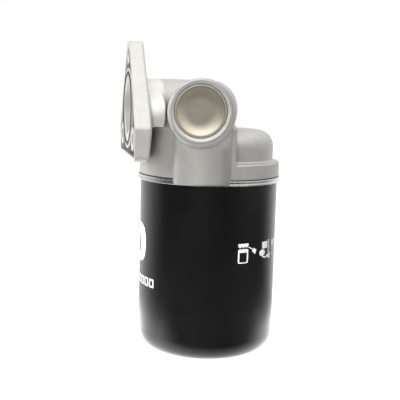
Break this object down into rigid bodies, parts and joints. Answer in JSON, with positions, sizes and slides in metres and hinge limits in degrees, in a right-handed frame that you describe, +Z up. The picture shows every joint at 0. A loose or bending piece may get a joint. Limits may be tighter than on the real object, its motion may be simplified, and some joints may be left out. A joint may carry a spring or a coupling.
{
  "type": "hydraulic filter assembly",
  "caption": "Spin-on hydraulic filter: a cast head with a triangular three-bolt flange, plugged front bore and rear port over a round-bottomed black steel canister.",
  "frame": {"origin": "centre of the flange port, on the mounting face", "axes": "-X points out of the mounting face, +Z is up along the canister, the front bore looks along -Y"},
  "size_m": [0.1269, 0.129, 0.2485],
  "materials": {
    "cast_aluminium": "as cast, fine grain, machined on the faces",
    "plug_steel": "satin pressed steel, warm tint",
    "black_paint": "semi-gloss black paint",
    "plated_sheet": "plated sheet, satin",
    "turned_steel": "turned steel",
    "spring_steel": "oiled spring steel",
    "black_rubber": "smooth nitrile rubber",
    "filter_paper": "resin-treated pleated paper"
  },
  "bodies": {
    "head": {"filter_head": "cast_aluminium", "cup_plug": "plug_steel", "flange_o_ring": "black_rubber", "threaded_nipple": "turned_steel", "bypass_seat": "turned_steel", "bypass_spring": "spring_steel", "bypass_retaining_ring": "spring_steel"},
    "poppet": {"bypass_poppet": "turned_steel"},
    "seal": {"gasket": "black_rubber"},
    "canister": {"canister_shell": "black_paint", "seam_cover": "plated_sheet", "threaded_plate": "turned_steel", "element_seal": "black_rubber", "top_end_cap": "plated_sheet", "bottom_end_cap": "plated_sheet", "centre_tube": "plated_sheet", "pleated_media": "filter_paper", "media_band": "filter_paper", "spring_seat": "plated_sheet", "support_spring": "spring_steel"}
  },
  "joints": [
    {"name": "canister_advance", "type": "slide", "parent": "head", "child": "seal", "axis": [0, 0, -1], "range_m": [0, 0.0104]},
    {"name": "canister_unscrew", "type": "hinge", "parent": "seal", "child": "canister", "pos_m": [0.068, 0, -0.06], "axis": [0, 0, -1], "range_deg": [0, 2340]},
    {"name": "bypass_lift", "type": "slide", "parent": "head", "child": "poppet", "axis": [0, 0, 1], "range_m": [0, 0.004], "stiffness_N_per_m": 2500, "springref_m": -0.006, "deforming": ["bypass_spring"]}
  ],
  "couplings": [
    {"joint": "canister_advance", "follows": "canister_unscrew", "m_per_rad": 0.00025266}
  ]
}
